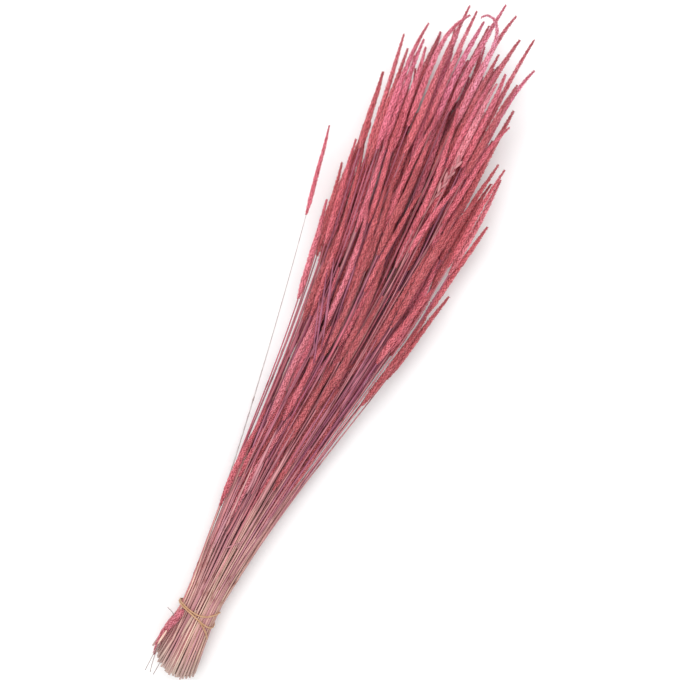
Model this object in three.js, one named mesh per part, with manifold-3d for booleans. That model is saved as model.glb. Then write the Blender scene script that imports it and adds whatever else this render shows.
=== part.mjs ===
// A tied bunch of dried timothy grass, dyed pink, lying on its side.
// Millimetres, +Z up. +X runs from the cut ends to the seed heads, and z = 0 is the surface it lies on.

import * as THREE from 'three';
import { mergeVertices } from 'three/addons/utils/BufferGeometryUtils.js';
import Module from 'manifold-3d';

// Driving dimensions of the bunch. Lengths along it are measured from the cut ends.
const BUNCH_LENGTH = 700; // from the cut ends to the furthest tip
const AXIS_Y = -1.1; // the bunch's axis, measured from the middle of its box
const STATIONS = 22; // places along the bunch that hold each stalk's line
const TIE_STATION = 2; // the band grips the stems here
const TIE_RADIUS = 17; // out to the outermost stem centres under the band
const TIE_FILL = 1.1; // how much wider the pairs of stems are set under the band, to fill it
const TIE_LIFT_LENGTH = 60; // length over which the band lifts the stems from the surface
const WAIST = 25; // length over which the waist rounds into the fan
const FAN_SPREAD = 0.12; // half width gained for each millimetre beyond the waist
const FAN_RISE = 0.05; // half height gained in the same way
const BOW = 10.5; // how far the middle of the bunch bows to one side
const ROW_COUNTS = [6, 10, 10, 12, 12, 12, 12, 10, 10, 6]; // stalks in each row, from the surface up

// Driving dimensions of a stalk
const STEM_RADII = [1.15, 0.75]; // at the cut end and at the head
const STEM_SUNK = 16; // length of stem inside its head
const CUT_ROUND = 10; // how much shorter the stems at the sides are cut
const CUT_LEAN = 0.25; // how far the longest stems lie to one side, as a share of the half width
const CUT_SCATTER = 5; // how unevenly the stems are cut
const HEAD_RADIUS = [2.8, 3.9]; // thinnest and thickest head
const HEAD_LENGTH = [82, 128]; // shortest and longest head
const HEAD_FOOT = 0.45; // radius at a head's foot, as a share of its full radius
const HEAD_FILLS = 0.15; // share of a head's length in which it swells to its full radius
const HEAD_TAPER = 0.66; // share of its radius that a head has lost at its tip
const TAPER_POWER = 3; // how late a head tapers
const LOWEST_TIP = 285; // of the shortest stalks
const HIGHEST_TIP = 680; // of the longest stalks but one
const SIDE_TIP_LIFT = 120; // how much longer the shortest stalks at the sides of the fan are
const SIDE_TIP_DROP = 150; // how much shorter the longest stalks there are
const TOP_TIP_DROP = 260; // how much shorter the longest stalks on top of the bunch are
const TIP_BIAS = 0.4; // below 1, more stalks are long than short
const TOP_TIP_BIAS = 0.9; // the same for the stalks on top
const WANDER = 0.2; // how far a stalk strays across the fan, as a share of its half width
const NOD = 9; // how far a head's tip bends to one side, and half as far up or down
const RELIEF = 0.15; // spikelets stand this share of the radius out of the head, and sink as far
const FLAT_SPOT = 0.7; // how much a head that carries the bunch is pressed flat
const CLEARANCE = 0.6; // kept between stalks
const PAIR_GAP = 0.9; // between the centres of two stems pressed together under the band

// One stalk is the longest, one leans out on its own, one is the outermost of the other side, and one was
// bundled upside down, head to the cut ends.
const LONGEST = { row: 6, place: 5, bearing: -0.04, rise: 0.1, neck: 588, tip: BUNCH_LENGTH, nodY: -6 };
const THIN_STEM = { headRadius: 2.3, stemRadii: [0.9, 0.35] };
const LOOSE = { row: 5, place: 11, bearing: 1.41, bow: 0, neck: 444, tip: 529, nodY: 0, ...THIN_STEM };
const OUTERMOST = { row: 4, place: 0, bearing: -1.25, neck: 406, tip: 508 };
const UPTURNED = { row: 7, place: 9, bearing: 1, butt: 250, neck: 58, tip: 10, nodY: 0, nodZ: 0 };
const ODD_ONES = [LONGEST, LOOSE, OUTERMOST, UPTURNED];

// Driving dimensions of the band
const BAND_TURNS = 3;
const BAND_RADIUS = 0.7; // of the rubber strand
const BAND_SPREAD = 16; // how far the turns spread along the stems, on the side where they spread most
const BAND_GATHERED = 0.06; // share of that spread where the turns come together, on the other side
const BAND_GATHERING = 4; // how much of the way round the turns stay together
const BAND_TILT = 4.2; // how far the whole winding leans along the stems from side to side
const BAND_SET_BACK = 6; // how much nearer to the cut ends its middle lies than the waist
const BAND_CROSSING = 0.9; // half the height that one turn needs to cross another
const BAND_SLACK = 0.3; // room between the band and the stems that widen towards their cut ends

// Facets
const STEM_SIDES = 3;
const STEM_RING_EVERY = 2; // stations from one ring of a stem to the next, beyond the band
const HEAD_SIDES = 6;
const HEAD_RINGS = 8;
const BAND_STEPS = 72;
const BAND_SIDES = 5;
const SURFACE_DEPTH = 20; // of the block that stands for the surface

// Settling
const SEED = 5;
const ROUNDS = 180;
const STIFF_ROUNDS = 120; // rounds in which the stems also resist bending
const STIFFNESS = 0.25;
const SAMPLES_PER_STEP = 3;

const STEP = BUNCH_LENGTH / (STATIONS - 1);
const SAMPLE_STEP = STEP / SAMPLES_PER_STEP;
const SAMPLE_COUNT = (STATIONS - 1) * SAMPLES_PER_STEP + 1;
const TIE_X = TIE_STATION * STEP;
const LOWEST_ROW = 1 / ROW_COUNTS.length - 1;
const BAND_INNER = TIE_RADIUS + STEM_RADII[0] + BAND_SLACK;
const BAND_MIDDLE = BAND_INNER + BAND_RADIUS + BAND_CROSSING;
const TIE_HEIGHT = BAND_MIDDLE + BAND_CROSSING + BAND_RADIUS;
const HEAD_REST = HEAD_RADIUS[1] - FLAT_SPOT;
const GOLDEN = (Math.sqrt(5) - 1) / 2;

const { lerp, clamp, seededRandom } = THREE.MathUtils;
const wasm = await Module();
wasm.setup();

// A repeatable draw between -1 and 1.
function eitherWay() {
  return 2 * seededRandom() - 1;
}

// How far the bunch has opened out at a place along it.
function opening(x) {
  return Math.hypot(x - TIE_X, WAIST) - WAIST;
}

// How far along the fan a place is, from the band (0) to the furthest tip (1).
function alongFan(x) {
  return Math.max(0, (x - TIE_X) / (BUNCH_LENGTH - TIE_X));
}

function halfWidth(x) {
  return TIE_RADIUS + FAN_SPREAD * opening(x);
}

function halfHeight(x) {
  return TIE_RADIUS + FAN_RISE * opening(x);
}

// The middle of the bunch: high enough for the band at the tie, and for the heads beyond it.
function axisHeight(x) {
  const tieLift = TIE_HEIGHT + LOWEST_ROW * TIE_RADIUS - HEAD_REST;
  const nearTie = Math.exp(-(((x - TIE_X) / TIE_LIFT_LENGTH) ** 2));
  return HEAD_REST - LOWEST_ROW * halfHeight(x) + tieLift * nearTie;
}

// A head's share of its full radius, from its foot (0) to its tip (1).
function headProfile(along) {
  const swelling = Math.min(1, lerp(HEAD_FOOT, 1, along / HEAD_FILLS));
  return swelling * (1 - HEAD_TAPER * along ** TAPER_POWER);
}

function alongStem(stalk, x) {
  return (x - stalk.butt) / (stalk.neck - stalk.butt);
}

function alongHead(stalk, x) {
  return (x - stalk.neck) / (stalk.tip - stalk.neck);
}

function stemRadius(stalk, x) {
  return lerp(...stalk.stemRadii, clamp(alongStem(stalk, x), 0, 1));
}

// The radius that a stalk fills at a place along the bunch, or 0 where it doesn't reach.
function filledRadius(stalk, x) {
  const head = alongHead(stalk, x);
  if (head >= 0 && head <= 1) return stalk.headRadius * headProfile(head) * (1 + RELIEF);
  const stem = alongStem(stalk, x);
  return stem >= 0 && stem < 1 ? stemRadius(stalk, x) : 0;
}

// How far along the bunch a stalk's tip is, by the way it leans and a share between 0 and 1.
function tipPlace(bearing, rise, share) {
  const onTop = Math.max(0, rise);
  const least = LOWEST_TIP + SIDE_TIP_LIFT * bearing ** 2;
  const most = HIGHEST_TIP - SIDE_TIP_DROP * bearing ** 2 - TOP_TIP_DROP * onTop ** 2;
  return lerp(least, Math.max(least, most), share ** lerp(TIP_BIAS, TOP_TIP_BIAS, onTop));
}

// Every stalk's traits: where its stem, head and tip lie along the bunch, and which way it leans.
function plantStalks() {
  seededRandom(SEED);
  const stalks = [];
  ROW_COUNTS.forEach((count, row) => {
    const v = (2 * row + 1) / ROW_COUNTS.length - 1;
    const chord = Math.sqrt(1 - v * v);
    for (let place = 0; place < count; place++) {
      const n = stalks.length;
      const u = chord * ((2 * place + 1) / count - 1);
      const bearing = clamp(u + WANDER * eitherWay(), -1, 1);
      const rise = v + (row ? WANDER * eitherWay() : 0);
      const tip = tipPlace(bearing, rise, (n * GOLDEN) % 1);
      const stalk = {
        u,
        v,
        pair: Math.floor(n / 2),
        pairU: chord * ((4 * Math.floor(place / 2) + 2) / count - 1),
        pairSide: place % 2 ? 1 : -1,
        bearing,
        rise,
        bow: BOW,
        stemRadii: STEM_RADII,
        butt: CUT_ROUND * (u + CUT_LEAN) ** 2 + CUT_SCATTER * seededRandom() ** 2,
        neck: tip - lerp(...HEAD_LENGTH, seededRandom()),
        tip,
        headRadius: lerp(...HEAD_RADIUS, seededRandom()),
        nodY: NOD * eitherWay(),
        nodZ: row ? (NOD / 2) * eitherWay() : 0,
        turn: 2 * Math.PI * seededRandom(),
      };
      const oddOne = ODD_ONES.find((odd) => odd.row === row && odd.place === place);
      stalks.push(Object.assign(stalk, oddOne));
    }
  });
  return stalks;
}

// A stalk's first line, station by station: from its place under the band to its bearing in the fan.
function drawLine(stalk) {
  stalk.y = [];
  stalk.z = [];
  for (let k = 0; k < STATIONS; k++) {
    const x = k * STEP;
    const out = alongFan(x);
    const nod = clamp(alongHead(stalk, x), 0, 1.5) ** 2;
    const bow = stalk.bow * Math.sin(Math.PI * out) ** 3;
    stalk.y.push(halfWidth(x) * lerp(stalk.u, stalk.bearing, out) - bow + stalk.nodY * nod);
    stalk.z.push(axisHeight(x) + halfHeight(x) * lerp(stalk.v, stalk.rise, out) + stalk.nodZ * nod);
  }
  stalk.y[TIE_STATION] = TIE_RADIUS * TIE_FILL * stalk.pairU + (stalk.pairSide * PAIR_GAP) / 2;
}

// A smooth value between stations (Catmull-Rom).
function between(values, x) {
  const place = clamp(x / STEP, 0, STATIONS - 1);
  const k = Math.min(Math.floor(place), STATIONS - 2);
  const t = place - k;
  const at = (i) => values[clamp(i, 0, STATIONS - 1)];
  const slopeIn = (at(k + 1) - at(k - 1)) / 2;
  const slopeOut = (at(k + 2) - at(k)) / 2;
  const rise = at(k + 1) - at(k);
  const cubic = slopeIn + slopeOut - 2 * rise;
  const square = 3 * rise - 2 * slopeIn - slopeOut;
  return at(k) + t * (slopeIn + t * (square + t * cubic));
}

// The room that a stalk needs at a sample and half way to the next ones.
function roomNeeded(stalk, x) {
  const nearby = [x - SAMPLE_STEP / 2, x, x + SAMPLE_STEP / 2];
  return Math.max(...nearby.map((place) => filledRadius(stalk, place)));
}

// Pushes the stalks apart, and up from the surface, until each has the room it fills.
function settle(stalks) {
  const places = Array.from({ length: SAMPLE_COUNT }, (_, s) => s * SAMPLE_STEP);
  for (const stalk of stalks) {
    stalk.room = places.map((x) => roomNeeded(stalk, x));
    stalk.firstY = [...stalk.y];
    stalk.firstZ = [...stalk.z];
  }
  for (let round = 0; round < ROUNDS; round++) {
    for (const stalk of stalks) {
      stalk.spots = places.map((x) => [between(stalk.y, x), between(stalk.z, x)]);
      stalk.pushes = Array.from({ length: STATIONS }, () => [0, 0, 0]);
    }
    places.forEach((_, s) => pushApart(stalks, s));
    const stiffness = round < STIFF_ROUNDS ? STIFFNESS : 0;
    for (const stalk of stalks) {
      const counts = stalk.pushes.map((push) => Math.max(push[2], 1));
      moveLine(stalk.y, stalk.firstY, stalk.pushes.map((push, k) => push[0] / counts[k]), stiffness);
      moveLine(stalk.z, stalk.firstZ, stalk.pushes.map((push, k) => push[1] / counts[k]), stiffness);
    }
  }
}

// The pushes at one sample. Two stems pressed together under the band don't push each other there.
function pushApart(stalks, s) {
  const atTie = Math.abs(s * SAMPLE_STEP - TIE_X) < STEP;
  stalks.forEach((a, n) => {
    if (!a.room[s]) return;
    const sunk = a.room[s] - FLAT_SPOT - a.spots[s][1];
    if (sunk > 0) addPush(a, s, 0, sunk);
    for (const b of stalks.slice(n + 1)) {
      if (!b.room[s] || (atTie && a.pair === b.pair)) continue;
      const y = b.spots[s][0] - a.spots[s][0];
      const z = b.spots[s][1] - a.spots[s][1];
      const apart = Math.hypot(y, z) || CLEARANCE;
      const short = a.room[s] + b.room[s] + CLEARANCE - apart;
      if (short <= 0) continue;
      addPush(a, s, (-short * y) / apart / 2, (-short * z) / apart / 2);
      addPush(b, s, (short * y) / apart / 2, (short * z) / apart / 2);
    }
  });
}

// Shares a push at a sample between the stations on either side of it.
function addPush(stalk, s, y, z) {
  const k = Math.min(Math.floor(s / SAMPLES_PER_STEP), STATIONS - 2);
  const share = s / SAMPLES_PER_STEP - k;
  for (const [station, weight] of [[k, 1 - share], [k + 1, share]]) {
    stalk.pushes[station][0] += weight * y;
    stalk.pushes[station][1] += weight * z;
    stalk.pushes[station][2] += weight;
  }
}

// Moves a line by the pushes on its stations, and evens out how far it has bent from its first course.
function moveLine(line, first, push, stiffness) {
  const bent = line.map((value, k) => value + push[k] - first[k]);
  line.forEach((_, k) => {
    if (k === TIE_STATION) return;
    const neighbours = (bent[Math.max(k - 1, 0)] + bent[Math.min(k + 1, STATIONS - 1)]) / 2;
    line[k] = first[k] + lerp(bent[k], neighbours, stiffness);
  });
}

// A closed tube along a stalk's line, with a ring of corners at each of the places given.
function tube(stalk, sides, places, radiusAt) {
  const geometry = new THREE.CylinderGeometry(1, 1, 1, sides, places.length - 1);
  const position = geometry.getAttribute('position');
  const corner = new THREE.Vector3();
  for (let i = 0; i < position.count; i++) {
    corner.fromBufferAttribute(position, i);
    const ring = Math.round((corner.y + 0.5) * (places.length - 1));
    const side = Math.round((Math.atan2(corner.x, corner.z) / (2 * Math.PI)) * sides + sides) % sides;
    const angle = stalk.turn + (2 * Math.PI * side) / sides;
    const x = places[ring];
    const radius = Math.hypot(corner.x, corner.z) > 0.5 ? radiusAt(x, ring, side) : 0;
    const y = between(stalk.y, x) + radius * Math.cos(angle);
    const z = between(stalk.z, x) + radius * Math.sin(angle);
    position.setXYZ(i, x, y, z);
  }
  return geometry;
}

function stemGeometry(stalk) {
  const endInHead = stalk.neck + Math.sign(stalk.tip - stalk.butt) * STEM_SUNK;
  const [start, end] = [stalk.butt, endInHead].sort((a, b) => a - b);
  const places = [start];
  for (let k = TIE_STATION; k * STEP < end - STEP / 2; k++) {
    const kept = k === TIE_STATION || (k - TIE_STATION - 1) % STEM_RING_EVERY === 0;
    if (kept && k * STEP > start + STEP / 2) places.push(k * STEP);
  }
  return tube(stalk, STEM_SIDES, [...places, end], (x) => stemRadius(stalk, x));
}

// A head with its spikelets as relief: neighbouring corners stand out and sink in by turns.
function headGeometry(stalk) {
  const ends = [stalk.neck, stalk.tip].sort((a, b) => a - b);
  const places = Array.from({ length: HEAD_RINGS + 1 }, (_, ring) => lerp(...ends, ring / HEAD_RINGS));
  return tube(stalk, HEAD_SIDES, places, (x, ring, side) => {
    const spikelet = (ring + side) % 2 ? RELIEF : -RELIEF;
    return stalk.headRadius * headProfile(alongHead(stalk, x)) * (1 + spikelet);
  });
}

// A geometry as a solid whose shared corners are merged.
function solid(geometry) {
  geometry.deleteAttribute('normal');
  geometry.deleteAttribute('uv');
  const merged = mergeVertices(geometry, 1e-4);
  const vertProperties = new Float32Array(merged.getAttribute('position').array);
  const triVerts = new Uint32Array(merged.index.array);
  return new wasm.Manifold(new wasm.Mesh({ numProp: 3, vertProperties, triVerts }));
}

// Two stalks pressed together under the band, as one geometry, flat where they rest on the surface.
function pairGeometry(pair, surface) {
  const solids = pair.flatMap((stalk) => [solid(stemGeometry(stalk)), solid(headGeometry(stalk))]);
  const whole = solids.reduce((sum, next) => sum.add(next)).subtract(surface);
  const { vertProperties, triVerts } = whole.getMesh();
  return new THREE.BufferGeometry()
    .setAttribute('position', new THREE.BufferAttribute(vertProperties, 3))
    .setIndex(new THREE.BufferAttribute(triVerts, 1));
}

// The band's line: one closed loop that goes round the stems several times and crosses over itself.
class BandLine extends THREE.Curve {
  getPoint(t, target = new THREE.Vector3()) {
    const round = 2 * Math.PI * BAND_TURNS * t;
    const strand = 2 * Math.PI * t;
    const side = Math.sin(round);
    const spread = BAND_SPREAD * lerp(BAND_GATHERED, 1, ((1 - side) / 2) ** BAND_GATHERING);
    const radius = BAND_MIDDLE + BAND_CROSSING * Math.sin(strand);
    const x = TIE_X - BAND_SET_BACK + spread * Math.cos(strand) + BAND_TILT * side;
    return target.set(x, radius * side, TIE_HEIGHT + radius * Math.cos(round));
  }
}

function bandGeometry() {
  return new THREE.TubeGeometry(new BandLine(), BAND_STEPS, BAND_RADIUS, BAND_SIDES, true);
}

function named(name, geometry, material) {
  const mesh = new THREE.Mesh(geometry, material);
  mesh.name = name;
  return mesh;
}

const grass = new THREE.MeshStandardMaterial({ color: 0xb9626e, roughness: 0.95, metalness: 0 });
const rubber = new THREE.MeshStandardMaterial({ color: 0xc9a070, roughness: 0.6, metalness: 0 });

const bunch = new THREE.Group();
bunch.position.set(-BUNCH_LENGTH / 2, AXIS_Y, 0);

const stalks = plantStalks();
stalks.forEach(drawLine);
settle(stalks);
const surfaceBox = new THREE.BoxGeometry(2 * BUNCH_LENGTH, BUNCH_LENGTH, SURFACE_DEPTH);
const surface = solid(surfaceBox.translate(BUNCH_LENGTH / 2, 0, -SURFACE_DEPTH / 2));
for (let n = 0; n < stalks.length; n += 2) {
  const number = String(n / 2 + 1).padStart(2, '0');
  bunch.add(named(`stalks_${number}`, pairGeometry([stalks[n], stalks[n + 1]], surface), grass));
}
bunch.add(named('rubber_band', bandGeometry(), rubber));

export default bunch;
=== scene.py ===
"""The looks of a tied bunch of dried timothy grass, dyed pink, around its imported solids.

Lengths are in millimetres until a mesh is made. Those of the floor, the light and the materials are in
metres. +X runs from the cut ends to the seed heads, and places along the bunch are measured from the cut
ends. z = 0 is the surface that the bunch lies on.
"""

import math
from types import SimpleNamespace

import bpy
import numpy as np
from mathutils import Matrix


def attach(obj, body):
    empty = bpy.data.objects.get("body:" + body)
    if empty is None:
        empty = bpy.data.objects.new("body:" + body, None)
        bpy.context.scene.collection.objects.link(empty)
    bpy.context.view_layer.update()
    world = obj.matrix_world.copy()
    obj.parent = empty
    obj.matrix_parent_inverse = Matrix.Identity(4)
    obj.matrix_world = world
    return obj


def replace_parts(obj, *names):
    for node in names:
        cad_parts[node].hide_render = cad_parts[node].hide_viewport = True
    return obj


# The bunch, as the solids are built
BUNCH_LENGTH = 700.0  # from the cut ends to the furthest tip
AXIS_Y = -1.1  # the bunch's axis, measured from the middle of its box
STATIONS = 22  # places along the bunch that hold each stalk's line
TIE_STATION = 2  # the band grips the stems here
TIE_RADIUS = 17.0  # out to the outermost stem centres under the band
TIE_FILL = 1.1  # how much wider the pairs of stems are set under the band, to fill it
TIE_LIFT_LENGTH = 60.0  # length over which the band lifts the stems from the surface
WAIST = 25.0  # length over which the waist rounds into the fan
FAN_SPREAD = 0.12  # half width gained for each millimetre beyond the waist
FAN_RISE = 0.05  # half height gained in the same way
BOW = 10.5  # how far the middle of the bunch bows to one side
BOW_POWER = 3  # how much the bow keeps to the middle
ROW_COUNTS = [6, 10, 10, 12, 12, 12, 12, 10, 10, 6]  # stalks in each row, from the surface up

# A stalk, as the solids are built
STEM_RADII = (1.15, 0.75)  # at the cut end and at the head
STEM_SUNK = 16.0  # length of stem inside its head
CUT_ROUND = 10.0  # how much shorter the stems at the sides are cut
CUT_LEAN = 0.25  # how far the longest stems lie to one side, as a share of the half width
CUT_SCATTER = 5.0  # how unevenly the stems are cut
HEAD_RADIUS = (2.8, 3.9)  # thinnest and thickest head
HEAD_LENGTH = (82.0, 128.0)  # shortest and longest head
HEAD_FOOT = 0.45  # radius at a head's foot, as a share of its full radius
HEAD_FILLS = 0.15  # share of a head's length in which it swells to its full radius
HEAD_TAPER = 0.66  # share of its radius that a head has lost at its tip
TAPER_POWER = 3  # how late a head tapers
LOWEST_TIP = 285.0  # of the shortest stalks
HIGHEST_TIP = 680.0  # of the longest stalks but one
SIDE_TIP_LIFT = 120.0  # how much longer the shortest stalks at the sides of the fan are
SIDE_TIP_DROP = 150.0  # how much shorter the longest stalks there are
TOP_TIP_DROP = 260.0  # how much shorter the longest stalks on top of the bunch are
TIP_BIAS = 0.4  # below 1, more stalks are long than short
TOP_TIP_BIAS = 0.9  # the same for the stalks on top
WANDER = 0.2  # how far a stalk strays across the fan, as a share of its half width
NOD = 9.0  # how far a head's tip bends to one side, and half as far up or down
NOD_REACH = 1.5  # how far the bend goes on, in lengths of the head
RELIEF = 0.15  # spikelets stand this share of the radius out of the head
FLAT_SPOT = 0.7  # how much a head that carries the bunch is pressed flat
CLEARANCE = 0.6  # kept between stalks
PAIR_GAP = 0.9  # between the centres of two stems pressed together under the band

# By row and place: the longest stalk, one that leans out on its own, the outermost of the other side,
# and one that was bundled upside down
THIN_STEM = {"head_radius": 2.3, "stem_radii": (0.9, 0.35), "dry": 1.0}
ODD_STALKS = {
    (6, 5): {"bearing": -0.04, "rise": 0.1, "neck": 588.0, "tip": BUNCH_LENGTH, "nod_y": -6.0},
    (5, 11): {"bearing": 1.41, "bow": 0.0, "neck": 444.0, "tip": 529.0, "nod_y": 0.0, **THIN_STEM},
    (4, 0): {"bearing": -1.25, "neck": 406.0, "tip": 508.0},
    (7, 9): {"bearing": 1.0, "butt": 250.0, "neck": 58.0, "tip": 10.0, "nod_y": 0.0, "nod_z": 0.0},
}

# The band, as the solids are built
BAND_TURNS = 3
BAND_RADIUS = 0.7  # of the rubber strand
BAND_SPREAD = 16.0  # how far the turns spread along the stems, on the side where they spread most
BAND_GATHERED = 0.06  # share of that spread where the turns come together, on the other side
BAND_GATHERING = 4  # how much of the way round the turns stay together
BAND_TILT = 4.2  # how far the whole winding leans along the stems from side to side
BAND_SET_BACK = 6.0  # how much nearer to the cut ends its middle lies than the waist
BAND_CROSSING = 0.9  # half the height that one turn needs to cross another
BAND_SLACK = 0.3  # room between the band and the stems that widen towards their cut ends

# Settling, as the solids are built
SEED = 5
DRAW_STEP = 0x6D2B79F5
WORD = 0xFFFFFFFF
ROUNDS = 180
STIFF_ROUNDS = 120  # rounds in which the stems also resist bending
STIFFNESS = 0.25
SAMPLES_PER_STEP = 3
ROUNDING = 1e-6

# Stalks that fill the bunch between those of the solids
FILLER_SEED = 11
FILLER_COUNT = 146
FILLER_GROUP = 10  # stalks in a piece
FILLER_STEM_RADII = (0.95, 0.6)
FILLER_LOWEST_TIP = 270.0
FILLER_ROUNDS = 70
GAP_GRID = 75  # places across the band that are searched for gaps
SMALL_HOOK = 0.3  # how far a head's tip may turn aside, in radians
FILLER_NOD = 20.0  # how far the tip of a head in the middle may bend to one side
NOD_INWARD = 0.25  # share of that by which a head at the side bends back

# Fillers at the fan's edge: tip along and across, head length, rise (-1 to 1) and hook (radians)
PLACED = [
    (465, 59, 95, 0.11, 0.0),
    (527, 60, 100, 0.22, 0.0),
    (634, 60, 118, 0.17, 0.1),
    (622, 52, 112, 0.33, 0.0),
    (652, 52, 120, 0.22, -0.2),
    (594, 64, 74, 0.15, 0.0),
    (636, 43, 104, 0.3, 0.0),
    (630, 35, 100, 0.35, 0.1),
    (622, 45, 96, 0.4, 0.0),
    (643, 23, 110, 0.44, 0.0),
    (683, 20, 124, 0.28, 0.0),
    (676, 32, 118, 0.39, -0.7),
    (681, 9, 120, 0.17, 0.0),
    (696, -22, 124, 0.44, 2.4),
    (693, -18, 118, 0.28, -0.2),
    (653, -24, 105, 0.39, 0.0),
    (675, -34, 120, 0.28, -0.15),
    (681, -47, 128, 0.22, 0.0),
    (656, -53, 118, 0.28, -0.3),
    (634, -32, 96, 0.5, 0.0),
    (638, -40, 94, 0.52, 0.1),
    (634, -46, 98, 0.5, -0.1),
    (626, -38, 92, 0.55, 0.0),
    (613, -58, 110, 0.33, 0.0),
    (561, -73, 104, 0.28, -0.1),
    (552, -79, 100, 0.17, 0.1),
    (434, -77, 96, 0.11, -0.1),
    (406, -70, 100, 0.1, 0.0),
    (533, -65, 100, 0.2, 0.0),
    (505, -62, 105, 0.15, 0.0),
    (455, -62, 95, 0.1, 0.0),
]

# Fillers that run on top of the bunch: how many, tips, bearings, rise, head radius and stem radii
ON_TOP = [
    (10, (470.0, 630.0), (-0.8, 0.8), 0.45, 2.7, (0.8, 0.5)),
    (22, (262.0, 350.0), (-0.75, 0.5), 0.92, 3.2, (0.9, 0.6)),
]

# Stems
STEM_SIDES = 6
STEM_RING_GAP = 22.0
LEAST_RINGS = 3
KNOT_GAP = (150.0, 210.0)  # from one knot to the next
KNOT_HALF = 2.2  # half a knot's length
KNOT_RINGS = (-2, -1, 0, 1, 2)  # places of the rings at a knot, in half lengths
KNOT_EDGE = 1.5  # where a knot ends, in half lengths
KNOT_SWELL = 1.3
HOLLOW_SHARE = 0.5  # radius of the hollow in a cut end, as a share of the stem's
HOLLOW_DEPTH = 3.0
DRY_END = 10.0  # length over which a cut end is dry
DRY_CUT = 0.6  # how dry a cut end is

# Heads
CORE_SHARE = 0.64  # radius of the core under the spikelets, as a share of the head's
CORE_SIDES = 8
CORE_RINGS = 21
CORE_GRAIN = 0.2
HEAD_WAVER = 0.3  # how far a head's tip wavers from its line
HEAD_WAVES = 1.7
HOOK_POWER = 3  # how late a tip turns aside
HOOK_POWER_GAIN = 2  # how much later for each radian that it turns
TINTS = 0.9
COVER_STEPS = 400  # steps in which a head's surface is measured
SPIKELET_PITCH = 1.92
SPIKELET_SIZE = 2.3
SPIKELET_SHRINK = 0.45  # how much smaller spikelets are where the head is thin
SPIKELET_VARIES = 0.14
SPIKELET_STRAYS = 0.22  # in radians
TIP_HIGHLIGHT_LOSS = 0.7  # share of their painted highlight and paler tone at the tips that spikelets have lost at the head's tip
TIP_POWER = 6  # how late they lose it
# A spikelet's corners along the head, round it and out of it, how near each is to the spikelet's tip
# (which sets
#  the painted shade at its base and the painted highlight and paler tone at its tip), and its faces
SPIKELET_CORNERS = np.array([
    (-0.50, 0.0, -0.10),
    (0.00, -0.42, 0.10),
    (0.00, 0.42, 0.10),
    (-0.02, 0.0, 0.38),
    (0.64, 0.0, 0.36),
])
SPIKELET_SHADE_TO_HIGHLIGHT = np.array([0.0, 0.35, 0.35, 0.6, 1.0])
SPIKELET_FACES = np.array([(0, 1, 3), (0, 3, 2), (1, 4, 3), (3, 4, 2), (0, 2, 1), (1, 2, 4)])

# Dry leaf blades that lie on the stems
BLADE_COUNT = 34
BLADE_STARTS = (80.0, 330.0)
BLADE_LENGTH = (25.0, 80.0)
BLADE_HALF_WIDTH = (0.5, 1.3)
BLADE_SPREAD = 0.85  # how far out they lie, as a share of the bunch's half width
BLADE_DRIFT = 0.05  # how far a blade slants
BLADE_RINGS = 13
BLADE_HOLD = 2  # rings before and after a place that hold the blade up there
BLADE_ENDS = (0.1, 0.97)  # the stretch of a half wave that a blade's outline follows
BLADE_FULLNESS = 0.6  # below 1, a blade is wider towards its ends
BLADE_FLATNESS = 0.12
BLADE_TONES = (0.2, 0.9)
# Blades seen apart: start and end along and across the bunch, half width and tone
BLADES_AND_SHADE_STRIPS = [
    ((37, 18.5), (21, 20.5), 1.1, 0.0),
    ((66, 2.0), (38, 4.0), 1.5, 0.97),
    ((130, 3.0), (142, -8.0), 0.7, 0.6),
    # The last five are dark purple strips laid on the heads where stems lie shaded below them: painted
    # shade, drawn as blades
    ((322, 4.0), (406, 31.0), 0.9, 0.55),
    ((336, 3.5), (396, 21.0), 0.7, 0.62),
    ((344, 5.5), (418, 30.0), 1.0, 0.5),
    ((328, 8.0), (384, 27.5), 0.6, 0.58),
    ((368, 3.0), (420, 9.0), 0.9, 0.56),
]

# Hairs at the cut ends: start and end along and across the bunch, and how far the end droops
HAIRS = [
    ((50, 18), (57, 27), -4),
    ((22, 20), (-7, 20.5), 5),
    ((24, 19), (-6.5, 15.5), 5),
    ((12, 11), (-7.5, 12), 4),
    ((30, -15), (8, -17), 7),
]
HAIR_RADIUS = 0.35
HAIR_RINGS = 9
HAIR_SIDES = 4
HAIR_VALUES = (1.0, 0.5, 0.8, 0.0)

# A broken head caught under the band: its ends along and across the bunch
BROKEN_ENDS = ((61.0, 13.0), (37.0, 18.5))
BROKEN_RADIUS = 4.0
BROKEN_TINT = 0.45

# A feathery spike of another grass that lies on the heads: its ends along and across the bunch
FEATHER_ENDS = ((486.0, -26.8), (549.0, -34.4))
FEATHER_STEM_HALF = 0.4
FEATHER_BARE = 0.36  # share of the stem with no spikelets
FEATHER_COUNT = 8
FEATHER_LENGTH = (7.0, 12.0)
FEATHER_HALF_WIDTH = (1.0, 1.8)
FEATHER_LEAN = 0.3
FEATHER_TONE = 0.1

# The finer band
BAND_STEPS = 240
BAND_SIDES = 10
BAND_TIGHT = 0.1  # share of the crossing's height left where the turns spread
BAND_VALUES = (0.5, 0.5, 0.0, 0.0)

# The photograph's view
VIEW_UP = (0.899, 0.438)  # the direction that is up in the picture
VIEW_CENTRE = (2.1, -9.4)
VIEW_SPAN = 633.5
VIEW_HEIGHT = 46.0  # where the span is measured, above the surface
LENS = 85.0
SENSOR = 36.0
FARTHEST_SEEN = 100.0  # in metres

# The floor and the light
WHITE = (1, 1, 1, 1)
FLOOR_COLOUR = (0.93, 0.93, 0.93, 1)
FLOOR_SIZE = 12.0
FLOOR_DROP = 0.0003
WORLD_STRENGTH = 0.86
KEY_PLACE = (0.4, 0.5, 2.6)
KEY_ENERGY = 45.0
KEY_SIZE = 2.2

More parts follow.
